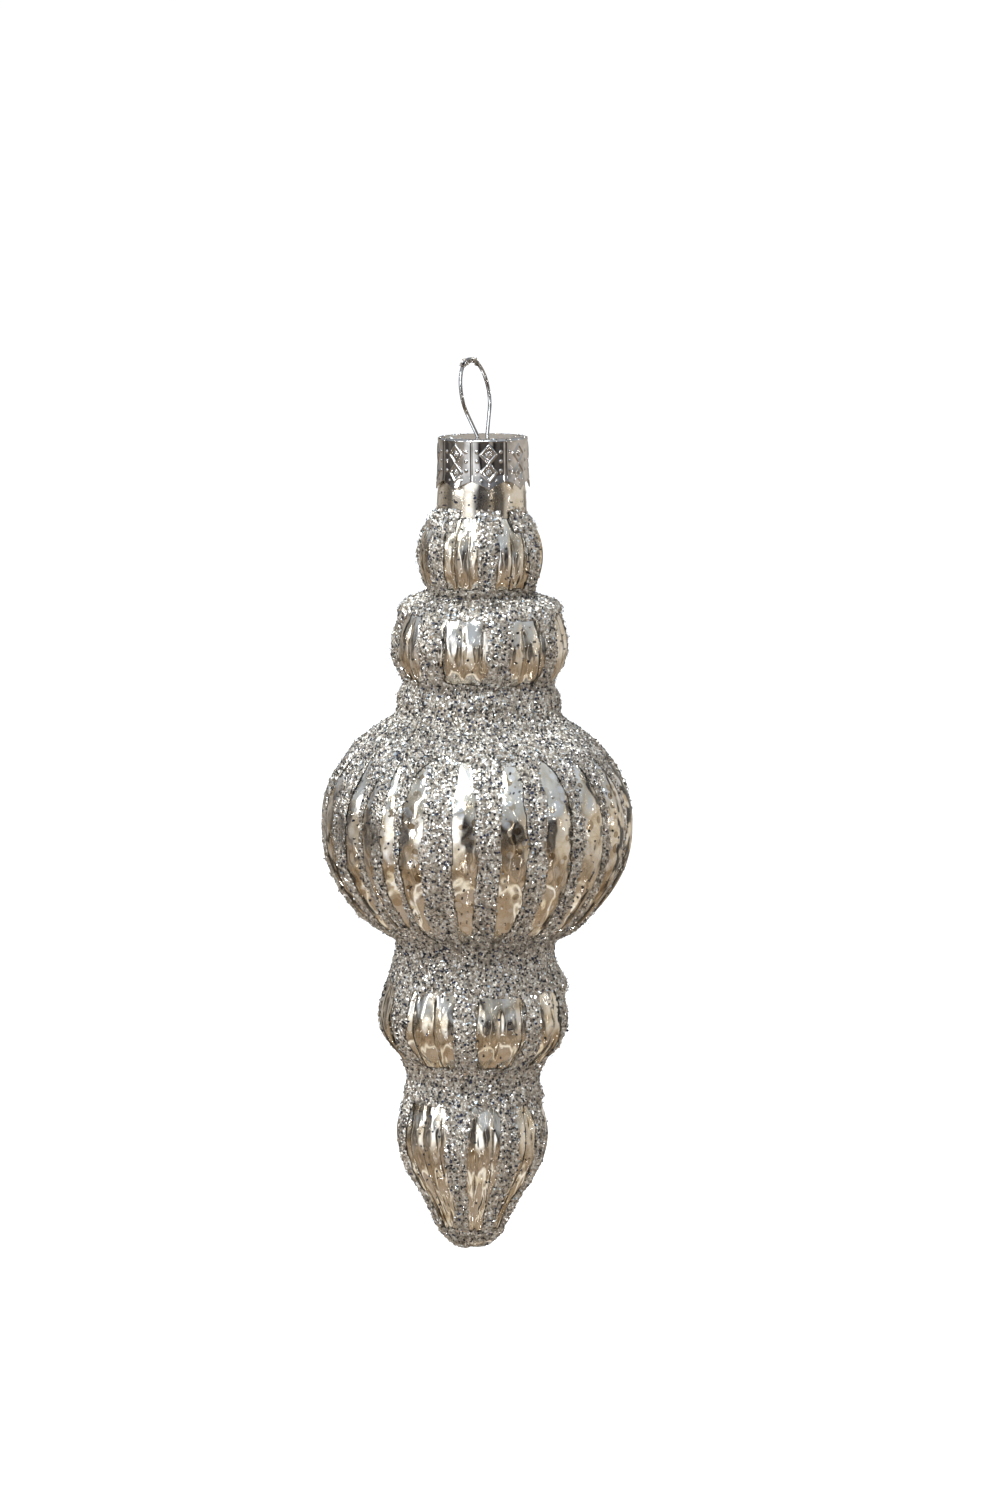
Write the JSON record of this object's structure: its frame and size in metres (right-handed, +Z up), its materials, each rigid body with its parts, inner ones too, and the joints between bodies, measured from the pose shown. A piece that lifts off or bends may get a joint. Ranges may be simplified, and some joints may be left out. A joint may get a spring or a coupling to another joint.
{
  "type": "hanging ornament",
  "caption": "Silvered glass icicle ornament of stacked ribbed beads with glitter stripes and bands, hung from a stamped metal cap and a wire loop.",
  "frame": {"origin": "where a hook bears, inside the top of the wire loop", "axes": "+Z up along the ornament's axis, +X along the line of the loop's two legs, the loop leans towards +Y"},
  "size_m": [0.0486, 0.0486, 0.1393],
  "materials": {
    "wire": "bright drawn wire, lightly tarnished",
    "cap": "bright stamped tinplate",
    "glass": "clear, fire-polished, faintly ribbed",
    "silvering": "antiqued mirror coat, champagne and taupe blotches",
    "glitter": "coarse silver flakes set in clear glue"
  },
  "bodies": {
    "hanger": {"hanger_wire": "wire"},
    "cap": {"cap": "cap"},
    "glass": {"glass_neck": "glass", "glass_bead_1": "glass", "glass_bead_2": "glass", "glass_bulb": "glass", "glass_bead_3": "glass", "glass_drop": "glass", "silver_lining": "silvering", "glitter_shoulder": "glitter", "glitter_stripes_bead_1": "glitter", "glitter_stripes_bead_2": "glitter", "glitter_stripes_bulb": "glitter", "glitter_stripes_bead_3": "glitter", "glitter_stripes_drop": "glitter", "glitter_ring_1": "glitter", "glitter_ring_2": "glitter", "glitter_ring_3": "glitter", "glitter_ring_4": "glitter", "glitter_tip": "glitter"}
  },
  "joints": [
    {"name": "loop_tilt", "type": "hinge", "parent": "hanger", "child": "cap", "pos_m": [0, -0.00244, -0.01162], "axis": [1, 0, 0], "range_deg": [-26, 2]},
    {"name": "glass_pull", "type": "slide", "parent": "cap", "child": "glass", "axis": [0, 0, -1], "range_m": [0, 0.03]}
  ]
}
